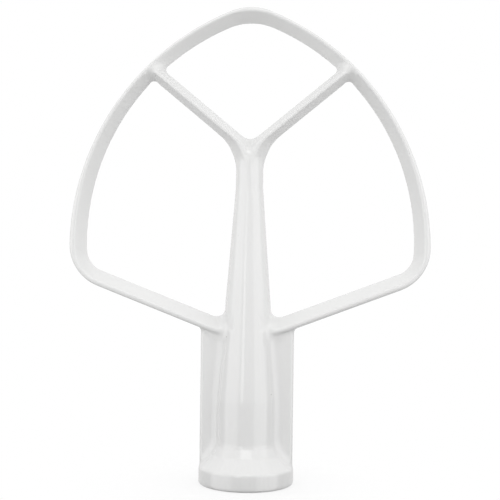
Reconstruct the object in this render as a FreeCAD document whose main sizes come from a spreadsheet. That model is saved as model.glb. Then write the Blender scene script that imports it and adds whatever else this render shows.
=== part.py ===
import FreeCAD, Part
import math
import os
import Sketcher
from FreeCAD import Vector

# Flat beater for a stand mixer: one casting that stands on its collar with the paddle up.
# The origin is the centre of the collar's end face, +Z runs up the stem, and the XZ plane is
# the parting plane of the casting, so the front and the back of the paddle are mirror images.
# Sizes are in millimetres and degrees.
NODE = "flat_beater"
SIZES = {
    "overall_height": 187.0,
    "overall_width": 142.0,
    "blade_thickness": 10.8,
    # rim: an arch at the top, long side arcs and round lower corners
    "widest_height": 91.8,
    "apex_radius": 21.3,
    "corner_radius": 17.8,
    "rim_width": 6.6,
    "rim_top_width": 6.1,
    "rim_draft": 4.0,
    "rim_edge_radius": 1.5,
    "inner_slope_run": 4.3,
    "inner_rise": 2.9,
    "inner_apex_radius": 21.9,
    "inner_corner_radius": 8.8,
    # lower bars, from the stem out to the rim's corners
    "bar_angle": 21.0,
    "bar_root_height": 53.9,
    "bar_width": 6.3,
    "crotch_radius": 3.9,
    # braces, from the fork at the stem's top up to the rim, with a ridge along each face
    "brace_angle": 39.5,
    "brace_root_height": 130.6,
    "brace_width": 5.7,
    "brace_corner_radius": 1.75,
    "ridge_width": 0.58,
    "cut_overrun": 0.25,
    "fork_radius": 21.0,
    "ridge_fork_radius": 16.0,
    "fork_floor_radius": 5.5,
    "fork_valley_radius": 0.8,
    # stem and hub
    "neck_radius": 5.25,
    "neck_height": 118.0,
    "stem_inset": 0.25,
    "barrel_radius": 11.85,
    "barrel_top": 33.0,
    "flare_top": 15.9,
    "flare_step_radius": 14.0,
    "flare_step_height": 11.9,
    "collar_radius": 18.7,
    "collar_height": 6.5,
    "collar_edge_radius": 1.2,
    # side webs, from the collar up to the bars
    "web_width": 36.5,
    "web_setback": 2.25,
    "web_corner_radius": 2.0,
    "web_edge_radius": 1.2,
    # bore for the mixer's shaft, and the bayonet slot for the shaft's pin
    "bore_radius": 6.5,
    "bore_depth": 42.0,
    "bore_chamfer": 0.8,
    "slot_width": 5.6,
    "slot_reach": 10.2,
    "slot_floor": 20.0,
    "slot_land": 0.6,
    "slot_inner": 2.5,
    "seat_drop": 2.5,
    "slot_corner_radius": 1.0,
}
TOLERANCE = 1e-4

doc = FreeCAD.newDocument("FlatBeater")
sheet = doc.addObject("Spreadsheet::Sheet", "Sizes")
for row, (alias, amount) in enumerate(SIZES.items(), start=1):
    sheet.set(f"A{row}", alias.replace("_", " "))
    sheet.set(f"B{row}", str(amount))
    sheet.setAlias(f"B{row}", alias)
doc.recompute()


# A length or an angle, with its value beside the sheet formula that drives it.
class Length:
    def __init__(self, value, text):
        self.value = value
        self.text = text

    def __add__(self, other):
        return Length(self.value + other.value, f"({self.text} + {other.text})")

    def __sub__(self, other):
        return Length(self.value - other.value, f"({self.text} - {other.text})")

    def __mul__(self, other):
        return Length(self.value * other.value, f"({self.text} * {other.text})")

    def __truediv__(self, other):
        return Length(self.value / other.value, f"({self.text} / {other.text})")

    def __neg__(self):
        return Length(-self.value, f"(-{self.text})")

    def __abs__(self):
        return Length(abs(self.value), f"abs({self.text})")


def size(alias):
    return Length(SIZES[alias], f"Sizes.{alias}")


def number(value):
    return Length(value, f"{value}")


def cosine(angle):
    return Length(math.cos(math.radians(angle.value)), f"cos({angle.text} * 1 deg)")


def sine(angle):
    return Length(math.sin(math.radians(angle.value)), f"sin({angle.text} * 1 deg)")


def tangent(angle):
    return Length(math.tan(math.radians(angle.value)), f"tan({angle.text} * 1 deg)")


def arctangent(ratio):
    return Length(math.degrees(math.atan(ratio.value)), f"(atan({ratio.text}) / 1 deg)")


# Outlines are smooth loops of sides, drawn anticlockwise, with rounded corners between the sides.
# A straight side is the line n.p = level, with its normal n pointing out of the loop.
class Straight:
    def __init__(self, name, heading, level):
        turn = math.radians(heading.value)
        self.name = name
        self.heading = heading
        self.level = level
        self.normal = Vector(math.sin(turn), -math.cos(turn), 0)
        self.distance = level.value

    def moved_in(self, amount):
        copy = Straight(self.name, self.heading, self.level)
        copy.distance = self.distance - amount
        return copy

    def touch(self, point):
        return point + self.normal * (self.distance - self.normal.dot(point))

    def piece(self, start, end):
        return Part.LineSegment(start, end), 1, 2


# A round side is part of a circle that the loop lies inside, or outside where it isn't hollow.
class Round:
    def __init__(self, name, centre_x, centre_z, radius, hollow=True):
        self.name = name
        self.centre_x = centre_x
        self.centre_z = centre_z
        self.size = radius
        self.hollow = hollow
        self.centre = Vector(centre_x.value, centre_z.value, 0)
        self.radius = radius.value

    def moved_in(self, amount):
        copy = Round(self.name, self.centre_x, self.centre_z, self.size, self.hollow)
        copy.radius = self.radius - amount if self.hollow else self.radius + amount
        return copy

    def touch(self, point):
        return self.centre + (point - self.centre).normalize() * self.radius

    def piece(self, start, end):
        return arc_piece(self.centre, self.radius, start, end, self.hollow)


# A corner lies between a side and the next, near a given point. Its radius is None where the two
# sides are tangent already, and its rounding may be drawn as several arcs.
class Corner:
    def __init__(self, name, radius, near, arcs=1):
        self.name = name
        self.radius = radius
        self.near = Vector(*near)
        self.arcs = arcs


# An arc with the numbers of its start and end points, which swap where it is drawn clockwise.
def arc_piece(centre, radius, start, end, anticlockwise=True):
    circle = Part.Circle(centre, Vector(0, 0, 1), radius)
    first, last = (start, end) if anticlockwise else (end, start)
    arc = Part.ArcOfCircle(circle, circle.parameter(first), circle.parameter(last))
    return (arc, 1, 2) if anticlockwise else (arc, 2, 1)


# The crossing of two sides that lies nearest to a point.
def crossing(first, second, near):
    if isinstance(first, Round) and isinstance(second, Straight):
        first, second = second, first
    if isinstance(second, Straight):
        a, b = first.normal, second.normal
        scale = a.x * b.y - a.y * b.x
        x = (first.distance * b.y - second.distance * a.y) / scale
        y = (a.x * second.distance - b.x * first.distance) / scale
        return Vector(x, y, 0)
    if isinstance(first, Straight):
        foot = first.touch(second.centre)
        along = Vector(-first.normal.y, first.normal.x, 0)
        reach = math.sqrt(second.radius ** 2 - (foot - second.centre).Length ** 2)
    else:
        line = second.centre - first.centre
        gap = line.Length
        line.normalize()
        foot_at = (gap ** 2 + first.radius ** 2 - second.radius ** 2) / (2 * gap)
        foot = first.centre + line * foot_at
        along = Vector(-line.y, line.x, 0)
        reach = math.sqrt(first.radius ** 2 - foot_at ** 2)
    return min((foot + along * reach, foot - along * reach), key=lambda point: (point - near).Length)


def rounding(corner, centre, start, end):
    radius = corner.radius.value
    circle = Part.Circle(centre, Vector(0, 0, 1), radius)
    first = circle.parameter(start)
    turn = (circle.parameter(end) - first) % (2 * math.pi)
    points = [circle.value(first + turn * k / corner.arcs) for k in range(corner.arcs + 1)]
    names = [corner.name] if corner.arcs == 1 else [f"{corner.name}{k}" for k in range(corner.arcs)]
    return [(name, arc_piece(centre, radius, *ends)) for name, *ends in zip(names, points, points[1:])]


# The pieces of a loop in order, each with its name.
def loop_pieces(sides, corners):
    starts = {}
    ends = {}
    roundings = {}
    for i, (side, corner) in enumerate(zip(sides, corners)):
        after = (i + 1) % len(sides)
        following = sides[after]
        if corner.radius is None:
            straight, circle = (side, following) if isinstance(side, Straight) else (following, side)
            ends[i] = starts[after] = straight.touch(circle.centre)
            roundings[i] = []
        else:
            amount = corner.radius.value
            centre = crossing(side.moved_in(amount), following.moved_in(amount), corner.near)
            ends[i] = side.touch(centre)
            starts[after] = following.touch(centre)
            roundings[i] = rounding(corner, centre, ends[i], starts[after])
    pieces = []
    for i, side in enumerate(sides):
        pieces.append((side.name, side.piece(starts[i], ends[i])))
        pieces.extend(roundings[i])
    return pieces


body = doc.addObject("PartDesign::Body", NODE)
body.Label = NODE
planes = {feature.Role: feature for feature in body.Origin.OriginFeatures}
ORIGIN = (-1, 1)
HORIZONTAL = -1
VERTICAL = -2
CENTRE = 3


def new_sketch(name, plane, lift=None):
    sketch = body.newObject("Sketcher::SketchObject", name)
    sketch.AttachmentSupport = (planes[plane], [""])
    sketch.MapMode = "FlatFace"
    if lift is not None:
        sketch.AttachmentOffset = FreeCAD.Placement(Vector(0, 0, lift.value), FreeCAD.Rotation())
        sketch.setExpression("AttachmentOffset.Base.z", lift.text)
    return sketch


def drive(sketch, name, length, kind, *where):
    datum = math.radians(length.value) if kind == "Angle" else length.value
    index = sketch.addConstraint(Sketcher.Constraint(kind, *where, datum))
    sketch.renameConstraint(index, name)
    sketch.setExpression(f"Constraints.{name}", length.text)


# Draws a loop with its tangent joints, and returns the index of each piece by name.
def draw_loop(sketch, sides, corners):
    pieces = loop_pieces(sides, corners)
    index = {name: sketch.addGeometry(geometry, False) for name, (geometry, start, end) in pieces}
    for (name, (geometry, start, end)), following in zip(pieces, pieces[1:] + pieces[:1]):
        next_name, (next_geometry, next_start, next_end) = following
        sketch.addConstraint(Sketcher.Constraint("Tangent", index[name], end, index[next_name], next_start))
    return index


def drive_straights(sketch, index, sides):
    for side in sides:
        drive(sketch, f"{side.name}_heading", side.heading, "Angle", index[side.name])
        drive(sketch, f"{side.name}_level", abs(side.level), "Distance", *ORIGIN, index[side.name])


def drive_corners(sketch, index, corners):
    for corner in corners:
        drive(sketch, f"{corner.name}_radius", corner.radius, "Radius", index[corner.name])


# An arch of the rim: on each side an arc that is upright at its widest point, and between the two
# an apex arc that touches both. The whole arch may be moved outwards.
class Arch:
    def __init__(self, half_width, widest_height, apex_radius, top):
        rise = top - apex_radius - widest_height
        self.widest_height = widest_height
        self.apex_radius = apex_radius
        self.apex_height = top - apex_radius
        self.radius = (half_width * half_width + rise * rise - apex_radius * apex_radius) / (
            number(2) * (half_width - apex_radius)
        )
        self.offset = half_width - self.radius

    def sides(self, outwards):
        right = Round("right_rim", self.offset, self.widest_height, self.radius + outwards)
        left = Round("left_rim", -self.offset, self.widest_height, self.radius + outwards)
        return right, left

    def apex(self, outwards):
        return Corner("apex", self.apex_radius + outwards, TOP)

    def drive(self, sketch, index, rims, apex):
        for rim in rims:
            drive(sketch, f"{rim.name}_radius", rim.size, "Radius", index[rim.name])
            drive(sketch, f"{rim.name}_height", rim.centre_z, "DistanceY", *ORIGIN, index[rim.name], CENTRE)
        drive_corners(sketch, index, (apex,))
        drive(sketch, "apex_height", self.apex_height, "DistanceY", *ORIGIN, index[apex.name], CENTRE)
        sketch.addConstraint(Sketcher.Constraint("PointOnObject", index[apex.name], CENTRE, VERTICAL))


# A polygon through points given as pairs of lengths, each point held by its two distances.
def polygon(name, plane, points, lift=None):
    sketch = new_sketch(name, plane, lift)
    corners = [Vector(x.value, y.value, 0) for x, y in points]
    for here, there in zip(corners, corners[1:] + corners[:1]):
        sketch.addGeometry(Part.LineSegment(here, there), False)
    for i, (x, y) in enumerate(points):
        sketch.addConstraint(Sketcher.Constraint("Coincident", (i - 1) % len(points), 2, i, 1))
        for axis, length, line in (("X", x, VERTICAL), ("Y", y, HORIZONTAL)):
            if length.value == 0:
                sketch.addConstraint(Sketcher.Constraint("PointOnObject", i, 1, line))
            else:
                drive(sketch, f"point{i}_{axis.lower()}", length, f"Distance{axis}", *ORIGIN, i, 1)
    return sketch


def cut_between(name, sketches):
    loft = body.newObject("PartDesign::SubtractiveLoft", name)
    loft.Profile = sketches[0]
    loft.Sections = sketches[1:]
    loft.Ruled = True
    doc.recompute()
    return loft


def turned(kind, name, profile):
    feature = body.newObject(f"PartDesign::{kind}", name)
    feature.Profile = profile
    feature.ReferenceAxis = (profile, ["V_Axis"])
    doc.recompute()
    return feature


def round_edges(name, base, radius, chosen):
    edges = [f"Edge{i}" for i, edge in enumerate(base.Shape.Edges, start=1) if chosen(edge.BoundBox)]
    fillet = body.newObject("PartDesign::Fillet", name)
    fillet.Base = (base, edges)
    fillet.setExpression("Radius", radius.text)
    doc.recompute()
    return fillet


# Worked-out sizes.
HALF = size("blade_thickness") / number(2)
CUT_PLANE = HALF + size("cut_overrun")
HALF_WIDTH = size("overall_width") / number(2)
OUTER_ARCH = Arch(HALF_WIDTH, size("widest_height"), size("apex_radius"), size("overall_height"))
INNER_ARCH = Arch(
    HALF_WIDTH - size("rim_width"),
    size("widest_height") + size("inner_rise"),
    size("inner_apex_radius"),
    size("overall_height") - size("rim_top_width"),
)
HALF_RIDGE = size("ridge_width") / number(2)
HALF_BRACE = size("brace_width") / number(2)
BRACE_SLOPE_RUN = HALF_BRACE - HALF_RIDGE
STEM_TAPER = (size("barrel_radius") - size("neck_radius")) / (size("neck_height") - size("barrel_top"))
STEM_ANGLE = arctangent(STEM_TAPER)
STEM_FOOT = size("barrel_radius") + STEM_TAPER * size("barrel_top")
STEM_TIP = STEM_FOOT - STEM_TAPER * size("brace_root_height")
# Distances of the stem's side, the bars' lower edges and the braces' middle lines from the origin.
STEM_LEVEL = STEM_FOOT * cosine(STEM_ANGLE)
BAR_LEVEL = size("bar_root_height") * cosine(size("bar_angle"))
BRACE_LEVEL = size("brace_root_height") * cosine(size("brace_angle"))
# At the faces of the blade each brace's ridge turns down on to the stem round this centre.
RIDGE_FORK_X = HALF_RIDGE + size("ridge_fork_radius") * cosine(STEM_ANGLE)
RIDGE_FORK_Z = (
    BRACE_LEVEL - HALF_RIDGE - size("ridge_fork_radius") + RIDGE_FORK_X * sine(size("brace_angle"))
) / cosine(size("brace_angle"))
RIDGE_STEM_LEVEL = (
    RIDGE_FORK_X * cosine(STEM_ANGLE) + RIDGE_FORK_Z * sine(STEM_ANGLE) - size("ridge_fork_radius")
)
HALF_WEB = size("web_width") / number(2)
HALF_WEB_THICKNESS = HALF - size("web_setback")
WEB_FOOT = size("collar_height") / number(2)
WEB_TOP = size("bar_root_height") + size("bar_width") / (number(2) * cosine(size("bar_angle")))
WEB_CORNER = WEB_TOP + HALF_WEB * tangent(size("bar_angle"))
HALF_SLOT = size("slot_width") / number(2)
SLOT_TOP = size("slot_floor") + size("slot_width")
SEAT_START = HALF_SLOT + size("slot_land")
SLOT_END = SEAT_START + size("slot_width")
SEAT_FLOOR = size("slot_floor") - size("seat_drop")
# Points near the corners of the outlines.
STEM_ROOT = (0, 0, 0)
TOP = (0, SIZES["overall_height"], 0)
RIGHT_END = (SIZES["overall_width"] / 2, SIZES["widest_height"], 0)
LEFT_END = (-SIZES["overall_width"] / 2, SIZES["widest_height"], 0)
RIGHT_SHOULDER = (SIZES["overall_width"] / 4, SIZES["overall_height"], 0)
LEFT_SHOULDER = (-SIZES["overall_width"] / 4, SIZES["overall_height"], 0)


# The openings are cut through three sections: one a little outside each face of the blade, where
# the ridges are, and one at the parting plane, where the rim, the bars and the braces are widest.
class Section:
    def __init__(self, name, lift, slope):
        self.name = name
        self.lift = lift
        self.middle = lift is None
        self.run = number(slope) * size("inner_slope_run")
        self.brace_run = number(slope) * BRACE_SLOPE_RUN


SECTIONS = (
    Section("front", CUT_PLANE, 1),
    Section("middle", None, 0),
    Section("back", -CUT_PLANE, 1),
)


# The rim's outline in the parting plane, closed across the stem where the bars' lower edges meet.
def rim_outline():
    sketch = new_sketch("rim_outline", "XZ_Plane")
    right, left = OUTER_ARCH.sides(number(0))
    right_bar = Straight("right_bar", size("bar_angle"), -BAR_LEVEL)
    left_bar = Straight("left_bar", -size("bar_angle"), -BAR_LEVEL)
    right_corner = Corner("right_corner", size("corner_radius"), RIGHT_END)
    left_corner = Corner("left_corner", size("corner_radius"), LEFT_END)
    apex = OUTER_ARCH.apex(number(0))
    root = Corner("root", size("bar_width"), STEM_ROOT)
    index = draw_loop(sketch, (right_bar, right, left, left_bar), (right_corner, apex, left_corner, root))
    drive_straights(sketch, index, (right_bar, left_bar))
    drive_corners(sketch, index, (right_corner, left_corner, root))
    OUTER_ARCH.drive(sketch, index, (right, left), apex)
    return sketch


# One section of a side opening: along a bar, up the rim, down a brace and down the stem.
def side_opening(section):
    sketch = new_sketch(f"side_opening_{section.name}", "XZ_Plane", section.lift)
    if section.middle:
        fork_radius = size("fork_radius")
        stem_level = STEM_LEVEL - size("stem_inset")
    else:
        fork_radius = size("ridge_fork_radius")
        stem_level = RIDGE_STEM_LEVEL
    rim, other_rim = INNER_ARCH.sides(section.run)
    bar = Straight("bar", size("bar_angle"), -(BAR_LEVEL + size("bar_width") - section.run))
    brace = Straight("brace", size("brace_angle") + number(180), BRACE_LEVEL - HALF_BRACE + section.brace_run)
    stem = Straight("stem", number(270) + STEM_ANGLE, -stem_level)
    corners = (
        Corner("bar_end", size("inner_corner_radius") + section.run, RIGHT_END),
        Corner("brace_end", size("brace_corner_radius"), RIGHT_SHOULDER),
        Corner("fork", fork_radius, STEM_ROOT),
        Corner("crotch", size("crotch_radius") + section.brace_run, STEM_ROOT),
    )
    index = draw_loop(sketch, (bar, rim, brace, stem), corners)
    drive_straights(sketch, index, (bar, brace, stem))
    drive_corners(sketch, index, corners)
    drive(sketch, "rim_radius", rim.size, "Radius", index[rim.name])
    drive(sketch, "rim_centre_x", rim.centre_x, "DistanceX", *ORIGIN, index[rim.name], CENTRE)
    drive(sketch, "rim_centre_z", rim.centre_z, "DistanceY", *ORIGIN, index[rim.name], CENTRE)
    return sketch


# One section of the top opening. Off the parting plane its floor runs down between the two
# ridges, which come together on the stem, so the floor slopes out to both faces as a V.
def top_opening(section):
    sketch = new_sketch(f"top_opening_{section.name}", "XZ_Plane", section.lift)
    right, left = INNER_ARCH.sides(section.run)
    level = -(BRACE_LEVEL + HALF_BRACE - section.brace_run)
    left_brace = Straight("left_brace", -size("brace_angle"), level)
    right_brace = Straight("right_brace", size("brace_angle"), level)
    apex = INNER_ARCH.apex(section.run)
    left_end = Corner("left_end", size("brace_corner_radius"), LEFT_SHOULDER)
    right_end = Corner("right_end", size("brace_corner_radius"), RIGHT_SHOULDER)
    if section.middle:
        floor = Corner("floor", size("fork_floor_radius"), TOP, arcs=3)
        sides = (right, left, left_brace, right_brace)
        index = draw_loop(sketch, sides, (apex, left_end, floor, right_end))
        floor_arc = number(2) * size("brace_angle") / number(floor.arcs)
        for name in ("floor0", "floor1"):
            drive(sketch, f"{name}_radius", floor.radius, "Radius", index[name])
            drive(sketch, f"{name}_arc", floor_arc, "Angle", index[name])
        lowest = index["floor1"]
    else:
        radius = size("ridge_fork_radius") + size("ridge_width")
        left_fork = Round("left_fork", -RIDGE_FORK_X, RIDGE_FORK_Z, radius, hollow=False)
        right_fork = Round("right_fork", RIDGE_FORK_X, RIDGE_FORK_Z, radius, hollow=False)
        joint = Corner("joint", None, TOP)
        valley = Corner("valley", size("fork_valley_radius"), TOP)
        sides = (right, left, left_brace, left_fork, right_fork, right_brace)
        index = draw_loop(sketch, sides, (apex, left_end, joint, valley, joint, right_end))
        for fork in (left_fork, right_fork):
            drive(sketch, f"{fork.name}_radius", radius, "Radius", index[fork.name])
        drive(sketch, "fork_height", RIDGE_FORK_Z, "DistanceY", *ORIGIN, index["right_fork"], CENTRE)
        drive_corners(sketch, index, (valley,))
        lowest = index["valley"]
    sketch.addConstraint(Sketcher.Constraint("PointOnObject", lowest, CENTRE, VERTICAL))
    drive_straights(sketch, index, (left_brace, right_brace))
    drive_corners(sketch, index, (left_end, right_end))
    INNER_ARCH.drive(sketch, index, (right, left), apex)
    return sketch


# A rounded cut through the back of the barrel, from a start and a floor to the slot's end and top.
def slot_cut(name, start, floor):
    sketch = new_sketch(f"{name}_profile", "XZ_Plane", -size("slot_inner"))
    radius = size("slot_corner_radius")
    sides = (
        Straight("floor", number(0), -floor),
        Straight("end", number(90), SLOT_END),
        Straight("top", number(180), SLOT_TOP),
        Straight("start", number(270), -start),
    )
    corners = [Corner(f"corner{i}", radius, STEM_ROOT) for i in range(len(sides))]
    index = draw_loop(sketch, sides, corners)
    drive_straights(sketch, index, sides)
    drive_corners(sketch, index, corners)
    cut = body.newObject("PartDesign::Pocket", name)
    cut.Profile = sketch
    cut.Type = "ThroughAll"
    doc.recompute()


def on_blade_face(box):
    return box.YLength < TOLERANCE and abs(box.YMax) > HALF.value - TOLERANCE


def on_web_end(box):
    return box.XLength < TOLERANCE and abs(abs(box.XMin) - HALF_WEB.value) < TOLERANCE


def under_bar(box):
    return on_web_end(box) and box.YLength > TOLERANCE and box.ZMin > WEB_TOP.value


def up_web(box):
    return on_web_end(box) and box.YLength < TOLERANCE


def round_collar(box):
    return box.ZMax < TOLERANCE and box.XMax > size("collar_radius").value - TOLERANCE


# The paddle: a plate with drafted, rounded outer edges, and a side opening on each side.
plate = body.newObject("PartDesign::Pad", "paddle_plate")
plate.Profile = rim_outline()
plate.SideType = "Two sides"
for end in ("", "2"):
    plate.setExpression(f"Length{end}", HALF.text)
    plate.setExpression(f"TaperAngle{end}", f"-{size('rim_draft').text} * 1 deg")
doc.recompute()
round_edges("rim_rounding", plate, size("rim_edge_radius"), on_blade_face)
right_opening = cut_between("right_opening", [side_opening(section) for section in SECTIONS])
left_opening = body.newObject("PartDesign::Mirrored", "left_opening")
left_opening.Originals = [right_opening]
left_opening.MirrorPlane = (planes["YZ_Plane"], [""])
body.Tip = left_opening
doc.recompute()

# The webs, rounded where they meet the bars and along their ends.
webs = body.newObject("PartDesign::Pad", "webs")
webs.Profile = polygon(
    "web_profile",
    "XZ_Plane",
    (
        (-HALF_WEB, WEB_FOOT),
        (HALF_WEB, WEB_FOOT),
        (HALF_WEB, WEB_CORNER),
        (number(0), WEB_TOP),
        (-HALF_WEB, WEB_CORNER),
    ),
)
webs.SideType = "Symmetric"
webs.setExpression("Length", (number(2) * HALF_WEB_THICKNESS).text)
doc.recompute()
web_corners = round_edges("web_corners", webs, size("web_corner_radius"), under_bar)
round_edges("web_ends", web_corners, size("web_edge_radius"), up_web)

# The turned shape: collar, flare in two steps, barrel and tapered stem.
hub_profile = polygon(
    "hub_profile",
    "XZ_Plane",
    (
        (number(0), number(0)),
        (size("collar_radius"), number(0)),
        (size("collar_radius"), size("collar_height")),
        (size("flare_step_radius"), size("flare_step_height")),
        (size("barrel_radius"), size("flare_top")),
        (size("barrel_radius"), size("barrel_top")),
        (STEM_TIP, size("brace_root_height")),
        (number(0), size("brace_root_height")),
    ),
)
hub = turned("Revolution", "stem_and_hub", hub_profile)
round_edges("collar_rounding", hub, size("collar_edge_radius"), round_collar)
cut_between("top_opening", [top_opening(section) for section in SECTIONS])

# The blind bore with a chamfered mouth.
bore_profile = polygon(
    "bore_profile",
    "XZ_Plane",
    (
        (number(0), number(0)),
        (size("bore_radius") + size("bore_chamfer"), number(0)),
        (size("bore_radius"), size("bore_chamfer")),
        (size("bore_radius"), size("bore_depth")),
        (number(0), size("bore_depth")),
    ),
)
turned("Groove", "shaft_bore", bore_profile)

# The bayonet slot: a keyway up the bore for the pin, and a window through the back of the barrel
# in which the pin turns and drops into its seat.
keyway = body.newObject("PartDesign::Pocket", "pin_keyway")
keyway.Profile = polygon(
    "keyway_profile",
    "XY_Plane",
    (
        (-HALF_SLOT, number(0)),
        (HALF_SLOT, number(0)),
        (HALF_SLOT, size("slot_reach")),
        (-HALF_SLOT, size("slot_reach")),
    ),
)
keyway.Reversed = True
keyway.setExpression("Length", SLOT_TOP.text)
slot_cut("pin_window", -HALF_SLOT, size("slot_floor"))
slot_cut("pin_seat", SEAT_START, SEAT_FLOOR)
body.Placement = FreeCAD.Placement()
doc.recompute()

failed = [item.Name for item in doc.Objects if "Invalid" in item.State or "Error" in item.State]
if failed:
    raise RuntimeError(f"these objects failed: {failed}")
if body.Shape.isNull() or not body.Shape.isValid() or len(body.Shape.Solids) != 1:
    raise RuntimeError("the beater isn't one valid solid")
os.makedirs("parts", exist_ok=True)
body.Shape.exportStep(f"parts/{NODE}.step")
print(f"{NODE}: {body.Shape.Volume / 1000:.1f} cubic centimetres")
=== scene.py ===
import math
import bmesh
import bpy
import numpy as np
from mathutils import Matrix


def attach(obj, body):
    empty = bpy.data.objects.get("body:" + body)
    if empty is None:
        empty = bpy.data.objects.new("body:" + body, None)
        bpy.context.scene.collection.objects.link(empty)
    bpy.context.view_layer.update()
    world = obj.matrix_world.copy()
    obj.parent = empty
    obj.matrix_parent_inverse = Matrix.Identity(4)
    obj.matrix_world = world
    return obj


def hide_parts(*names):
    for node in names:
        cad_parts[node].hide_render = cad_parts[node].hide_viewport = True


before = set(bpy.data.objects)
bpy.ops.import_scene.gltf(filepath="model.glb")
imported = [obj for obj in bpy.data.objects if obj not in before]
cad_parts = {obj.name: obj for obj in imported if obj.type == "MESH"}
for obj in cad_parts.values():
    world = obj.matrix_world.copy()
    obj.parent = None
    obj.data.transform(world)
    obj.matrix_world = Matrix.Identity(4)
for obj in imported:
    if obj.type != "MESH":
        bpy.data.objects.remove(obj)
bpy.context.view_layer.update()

scene = bpy.context.scene
scene.view_settings.view_transform = "Standard"


def addNode(tree, kind, settings=None, **values):
    node = tree.nodes.new(kind)
    for name, value in (settings or {}).items():
        setattr(node, name, value)
    for name, value in values.items():
        node.inputs[name].default_value = value
    return node


# another node's output, or a plain value
def feed(tree, socket, value):
    if isinstance(value, bpy.types.NodeSocket):
        tree.links.new(value, socket)
    else:
        socket.default_value = value


def combine(tree, operation, *values):
    node = addNode(tree, "ShaderNodeMath", {"operation": operation})
    for socket, value in zip(node.inputs, values):
        feed(tree, socket, value)
    return node.outputs[0]


def mixShader(tree, share, first, second):
    node = addNode(tree, "ShaderNodeMixShader")
    for socket, value in zip(node.inputs, (share, first, second)):
        feed(tree, socket, value)
    return node.outputs[0]


colourSockets = {"share": 0, "first": 6, "second": 7, "result": 2}  # a mix node's, for colours


def mixColour(tree, share, first, second):
    node = addNode(tree, "ShaderNodeMix", {"data_type": "RGBA"})
    feed(tree, node.inputs[colourSockets["share"]], share)
    feed(tree, node.inputs[colourSockets["first"]], first)
    feed(tree, node.inputs[colourSockets["second"]], second)
    return node.outputs[colourSockets["result"]]


# runs from one result to the other as the value goes from start to end
def ramp(tree, value, ends=(0, 1), results=(0, 1), kind="SMOOTHSTEP"):
    node = addNode(tree, "ShaderNodeMapRange", {"interpolation_type": kind})
    for name, limit in zip(("From Min", "From Max", "To Min", "To Max"), (*ends, *results)):
        node.inputs[name].default_value = limit
    tree.links.new(value, node.inputs["Value"])
    return node.outputs["Result"]


# glossy white coating on the casting: even colour, fine orange peel, a few tiny specks
coatingLook = {
    "colour": (0.83, 0.83, 0.825, 1),
    "thinColour": (0.80, 0.80, 0.795, 1),  # where the coat is a little thinner
    "driftSize": 40.0,                     # waves per metre of the colour drift
    "driftDetail": 2.0,
    "roughness": (0.16, 0.24),
    "peelSize": 900.0,                     # orange peel bumps per metre
    "peelDetail": 1.0,
    "peelHeight": 0.000012,
    "speckSize": 90.0,                     # cells per metre, each with one point
    "speckRadius": 0.02,                   # as a share of a cell
    "speckColour": (0.42, 0.41, 0.40, 1),
    "coat": 1.0,
    "coatRoughness": 0.04,
}


def coatingMaterial(look):
    material = bpy.data.materials.new("whiteCoating")
    material.use_nodes = True
    tree = material.node_tree
    link = tree.links.new
    shader = tree.nodes["Principled BSDF"]
    shader.inputs["Coat Weight"].default_value = look["coat"]
    shader.inputs["Coat Roughness"].default_value = look["coatRoughness"]
    place = addNode(tree, "ShaderNodeTexCoord").outputs["Object"]

    drift = addNode(tree, "ShaderNodeTexNoise", Scale=look["driftSize"], Detail=look["driftDetail"])
    link(place, drift.inputs["Vector"])
    colour = mixColour(tree, drift.outputs["Fac"], look["thinColour"], look["colour"])
    gloss = ramp(tree, drift.outputs["Fac"], results=look["roughness"], kind="LINEAR")
    link(gloss, shader.inputs["Roughness"])

    # specks: where the surface passes close to a cell's point
    cells = addNode(tree, "ShaderNodeTexVoronoi", Scale=look["speckSize"])
    link(place, cells.inputs["Vector"])
    speck = combine(tree, "LESS_THAN", cells.outputs["Distance"], look["speckRadius"])
    link(mixColour(tree, speck, colour, look["speckColour"]), shader.inputs["Base Color"])

    peel = addNode(tree, "ShaderNodeTexNoise", Scale=look["peelSize"], Detail=look["peelDetail"])
    link(place, peel.inputs["Vector"])
    bump = addNode(tree, "ShaderNodeBump", Strength=1.0, Distance=look["peelHeight"])
    link(peel.outputs["Fac"], bump.inputs["Height"])
    link(bump.outputs["Normal"], shader.inputs["Normal"])
    return material


# the casting, with every edge and joint softened as the poured metal and its coat soften it;
# lengths in metres, places across from the stem's middle and up
castingLook = {
    "weld": 0.000002,                # points closer than this are one
    "skin": 0.00034,                 # size of the skin's faces
    "pull": 0.5,                     # share of the way to its neighbours' middle, in each pass
    "push": -0.52,                   # and back out, so that the skin doesn't shrink
    "evenPasses": 10,                # take out the skin's steps
    "softPasses": 6,                 # round the edges
    "hollow": (0.000006, 0.00002),   # how far a point lies inside its neighbours at a hollow joint
    "hollowPull": 0.7,
    "hollowSpread": 30,              # passes that widen the joint
    "hollowGain": 6,
    "jointPasses": 150,              # fill the hollow joints, as molten metal does
    "forkPlace": (0.0065, 0.1255),   # the two sides of the fork
    "forkReach": 0.011,
    "forkSwell": 0.0006,             # how much the casting thickens there
    "forkBlend": 0.15,               # how much of the joints' filling it gets all round
    "ledgePlace": (0.0162, 0.0618),  # under the bars, where the joint with the web stays sharp
    "ledgeReach": 0.0055,
    "triangles": 190000,             # kept where the surface bends
}


# draws each point towards the middle of its neighbours, or away from it
def relax(values, net, share):
    first, second, degree = net
    count = len(values)
    for axis in range(values.shape[1]):
        column = values[:, axis]
        total = np.bincount(first, column[second], count)
        total += np.bincount(second, column[first], count)
        column += share * (total / degree - column)


def readPoints(skin):
    points = np.empty((len(skin.vertices), 3), np.float32)
    skin.vertices.foreach_get("co", points.ravel())
    return points.astype(float)


def movePoints(skin, points):
    skin.vertices.foreach_set("co", points.astype(np.float32).ravel())
    skin.update()


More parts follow.
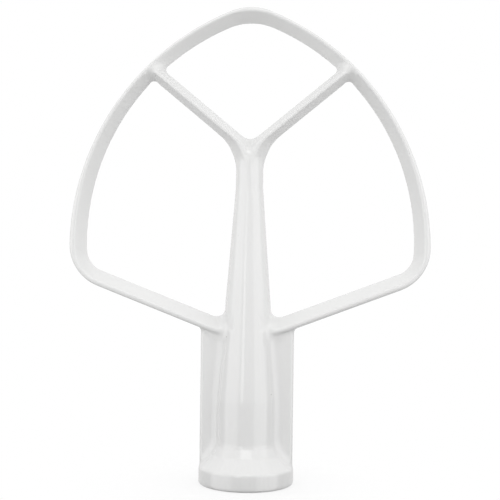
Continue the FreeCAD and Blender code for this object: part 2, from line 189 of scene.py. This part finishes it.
# each edge's two ends, and how many edges meet at each point
def readNet(skin):
    ends = np.empty((len(skin.edges), 2), np.int32)
    skin.edges.foreach_get("vertices", ends.ravel())
    degree = np.bincount(ends.ravel(), minlength=len(skin.vertices))
    return ends[:, 0], ends[:, 1], degree


def skinNormals(skin):
    normals = np.empty((len(skin.vertices), 3), np.float32)
    skin.vertex_normals.foreach_get("vector", normals.ravel())
    return normals


# one at a place on either side of the stem, falling to zero at its reach
def nearPlace(points, place, reach):
    across, up = place
    away = np.hypot(np.abs(points[:, 0]) - across, points[:, 2] - up) / reach
    return np.clip(1 - away ** 2, 0, 1)


# how strongly each point lies in a hollow joint, spread a little way out of it
def hollowShare(skin, points, net, look):
    moved = points.copy()
    relax(moved, net, 1)
    depth = ((moved - points) * skinNormals(skin)).sum(1)
    low, high = look["hollow"]
    share = np.clip((depth - low) / (high - low), 0, 1)[:, None]
    for turn in range(look["hollowSpread"]):
        relax(share, net, look["hollowPull"])
    return np.clip(look["hollowGain"] * share[:, 0], 0, 1)


# makes what the modifiers show the piece's own mesh
def applyModifiers(piece):
    evaluated = piece.evaluated_get(bpy.context.evaluated_depsgraph_get())
    piece.data = bpy.data.meshes.new_from_object(evaluated)
    piece.modifiers.clear()


def countTriangles(mesh):
    return sum(len(face.vertices) - 2 for face in mesh.polygons)


# covers the casting with small even faces
def coverCasting(piece, look):
    shell = bmesh.new()
    shell.from_mesh(piece.data)
    bmesh.ops.remove_doubles(shell, verts=shell.verts, dist=look["weld"])
    shell.to_mesh(piece.data)
    shell.free()
    remesh = piece.modifiers.new("skin", "REMESH")
    remesh.mode = "VOXEL"
    remesh.voxel_size = look["skin"]
    applyModifiers(piece)


def softenSkin(skin, look):
    points, net = readPoints(skin), readNet(skin)
    for turn in range(look["evenPasses"]):
        relax(points, net, look["pull"])
        relax(points, net, look["push"])
    for turn in range(look["softPasses"]):
        relax(points, net, look["pull"])
    movePoints(skin, points)

    fork = nearPlace(points, look["forkPlace"], look["forkReach"])
    points += look["forkSwell"] * (fork ** 2)[:, None] * skinNormals(skin)
    movePoints(skin, points)

    share = np.maximum(hollowShare(skin, points, net, look), look["forkBlend"] * fork)
    share *= 1 - nearPlace(points, look["ledgePlace"], look["ledgeReach"])
    for turn in range(look["jointPasses"]):
        relax(points, net, look["pull"] * share)
    movePoints(skin, points)


def softCasting(node, look):
    piece = bpy.data.objects.new("beater_casting", node.data.copy())
    scene.collection.objects.link(piece)
    coverCasting(piece, look)
    softenSkin(piece.data, look)
    count = countTriangles(piece.data)
    thin = piece.modifiers.new("thin", "DECIMATE")
    thin.ratio = look["triangles"] / count
    applyModifiers(piece)
    print("casting thinned from", count, "to", countTriangles(piece.data), "triangles")
    for face in piece.data.polygons:
        face.use_smooth = True
    return piece


casting = softCasting(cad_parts["flat_beater"], castingLook)
casting.data.materials.clear()
casting.data.materials.append(coatingMaterial(coatingLook))
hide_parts("flat_beater")
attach(casting, "root")
print("casting done")


# floor that the camera sees as the white backdrop, with a faint shadow round the collar
floorLook = {
    "size": 6.0,
    "near": (0.2, 0.2, 0.2, 1),     # how it throws light back beside the beater
    "far": (0.62, 0.62, 0.62, 1),   # and farther out
    "turn": (0.04, 0.22),           # where the one goes over to the other
    "seen": (0.85, 0.85, 0.85, 1),  # as the camera sees it in the shadow
    "shadow": 0.25,                 # how much of it is seen at the middle
    "reach": 0.07,                  # where the shadow has faded
}


def floorMaterial(look):
    material = bpy.data.materials.new("floorWhite")
    material.use_nodes = True
    tree = material.node_tree
    tree.nodes.clear()
    link = tree.links.new
    out = addNode(tree, "ShaderNodeOutputMaterial")
    bounce = addNode(tree, "ShaderNodeBsdfDiffuse")
    shaded = addNode(tree, "ShaderNodeBsdfDiffuse", Color=look["seen"]).outputs[0]
    clear = addNode(tree, "ShaderNodeBsdfTransparent").outputs[0]
    place = addNode(tree, "ShaderNodeTexCoord")
    length = addNode(tree, "ShaderNodeVectorMath", {"operation": "LENGTH"})
    link(place.outputs["Object"], length.inputs[0])
    away = length.outputs["Value"]
    fade = ramp(tree, away, (0, look["reach"]), (look["shadow"], 0))
    tone = mixColour(tree, ramp(tree, away, look["turn"]), look["near"], look["far"])
    link(tone, bounce.inputs["Color"])

    # the coating mirrors the panels down past the floor's line, so its rays go through
    rays = addNode(tree, "ShaderNodeLightPath").outputs
    through = combine(tree, "MAXIMUM", rays["Is Glossy Ray"], rays["Is Transmission Ray"])
    other = mixShader(tree, through, bounce.outputs[0], clear)
    seen = mixShader(tree, fade, clear, shaded)
    link(mixShader(tree, rays["Is Camera Ray"], other, seen), out.inputs["Surface"])
    return material


def paleFloor(look):
    half = look["size"] / 2
    mesh = bpy.data.meshes.new("floor")
    corners = [(-half, -half, 0), (half, -half, 0), (half, half, 0), (-half, half, 0)]
    mesh.from_pydata(corners, [], [(0, 1, 2, 3)])
    mesh.materials.append(floorMaterial(look))
    floor = bpy.data.objects.new("floor", mesh)
    scene.collection.objects.link(floor)


paleFloor(floorLook)


# studio: white to the camera, soft panels of light round the beater. Azimuth is in degrees from
# the camera's side to the right, height is above the horizon: from, to, and how soft the ends are
studioLook = {
    "white": (1, 1, 1, 1),
    "fill": 0.62,    # light from all round, which the panels add to
    "behind": 0.76,  # what the coating mirrors past the beater's edges
    "panels": {
        "front": {"azimuth": (-84, 85, 3), "height": (-60, 20, 3), "strength": 0.48},
        "left side": {"azimuth": (-84, -31, 2), "height": (-60, 20, 3), "strength": 0.65},
        "right side": {"azimuth": (32, 85, 2), "height": (-60, 20, 3), "strength": 0.65},
        "left upper": {"azimuth": (-84, -40, 4), "height": (20, 38, 4), "strength": 0.6},
        "right upper": {"azimuth": (32, 85, 4), "height": (20, 38, 4), "strength": 0.9},
        "crown": {"azimuth": (-84, 85, 3), "height": (38, 58, 4), "strength": 0.4},
        "softbox": {"azimuth": (-20, 26, 2), "height": (38, 56, 2), "strength": 1.0},
        "slit": {"azimuth": (-18, -11, 1.5), "height": (-1, 28, 1), "strength": 1.4},
        "left backdrop": {"azimuth": (-200, -85, 3), "height": (-60, 58, 3), "strength": 0.7},
        "right backdrop": {"azimuth": (85, 200, 3), "height": (-60, 58, 3), "strength": 0.6},
        "top": {"azimuth": (-200, 200, 3), "height": (58, 95, 3), "strength": 0.3},
    },
}


# one where the value lies between the two ends, falling softly to zero past them
def between(tree, value, limits):
    low, high, soft = (math.radians(limit) for limit in limits)
    rise = ramp(tree, value, (low - soft, low + soft))
    fall = ramp(tree, value, (high - soft, high + soft), (1, 0))
    return combine(tree, "MULTIPLY", rise, fall)


def studioWorld(look):
    world = bpy.data.worlds.new("studio")
    scene.world = world
    world.use_nodes = True
    tree = world.node_tree
    tree.nodes.clear()
    link = tree.links.new
    out = addNode(tree, "ShaderNodeOutputWorld")
    place = addNode(tree, "ShaderNodeTexCoord")
    axes = addNode(tree, "ShaderNodeSeparateXYZ")
    link(place.outputs["Generated"], axes.inputs[0])
    right, back, up = axes.outputs
    azimuth = combine(tree, "ARCTAN2", right, combine(tree, "MULTIPLY", back, -1))
    height = combine(tree, "ARCSINE", up)
    light = look["fill"]
    for panel in look["panels"].values():
        across = between(tree, azimuth, panel["azimuth"])
        upright = between(tree, height, panel["height"])
        area = combine(tree, "MULTIPLY", across, upright)
        light = combine(tree, "MULTIPLY_ADD", area, panel["strength"], light)

    # below the horizon the light is there for the coating's mirror only
    rays = addNode(tree, "ShaderNodeLightPath").outputs
    shown = combine(tree, "MAXIMUM", combine(tree, "GREATER_THAN", up, 0), rays["Is Glossy Ray"])
    sky = addNode(tree, "ShaderNodeBackground", Color=look["white"])
    link(combine(tree, "MULTIPLY", light, shown), sky.inputs["Strength"])

    # white to the camera and through glass, a little dimmer in the mirror behind the beater
    behind = combine(tree, "GREATER_THAN", back, 0)
    mirrored = combine(tree, "MULTIPLY", rays["Is Glossy Ray"], behind)
    level = combine(tree, "MULTIPLY_ADD", mirrored, look["behind"] - 1, 1)
    backdrop = addNode(tree, "ShaderNodeBackground", Color=look["white"])
    link(level, backdrop.inputs["Strength"])
    direct = combine(tree, "MAXIMUM", rays["Is Camera Ray"], rays["Is Transmission Ray"])
    plain = combine(tree, "MAXIMUM", direct, mirrored)
    link(mixShader(tree, plain, sky.outputs[0], backdrop.outputs[0]), out.inputs["Surface"])


studioWorld(studioLook)
print("floor and light done")

# the photograph's camera: level with the paddle's middle, a little to the right, turned slightly;
# lengths in metres, angles in degrees
cameraLook = {
    "sensor": 36.0,       # millimetres
    "frame": 500,         # the photograph's width in pixels
    "focal": 1087.5,      # in the same pixels
    "distance": 0.42837,
    "yaw": 4.037,         # round the beater, to the right
    "height": 0.09248,
    "turn": -0.0683,      # away from the stem's axis
    "tilt": -0.0834,      # from level
    "roll": 0.7466,
}


def turned(degrees, axis):
    return Matrix.Rotation(math.radians(degrees), 4, axis)


def photoCamera(look):
    lens = bpy.data.cameras.new("photoCamera")
    lens.sensor_width = look["sensor"]
    lens.lens = look["sensor"] * look["focal"] / look["frame"]
    camera = bpy.data.objects.new("photoCamera", lens)
    scene.collection.objects.link(camera)
    yaw, distance = math.radians(look["yaw"]), look["distance"]
    spot = (distance * math.sin(yaw), -distance * math.cos(yaw), look["height"])
    level = turned(90, "X")  # a new camera looks straight down
    aim = turned(look["yaw"] + look["turn"], "Z") @ level @ turned(look["tilt"], "X")
    camera.matrix_world = Matrix.Translation(spot) @ aim @ turned(look["roll"], "Z")
    scene.camera = camera


photoCamera(cameraLook)

print("scene done")
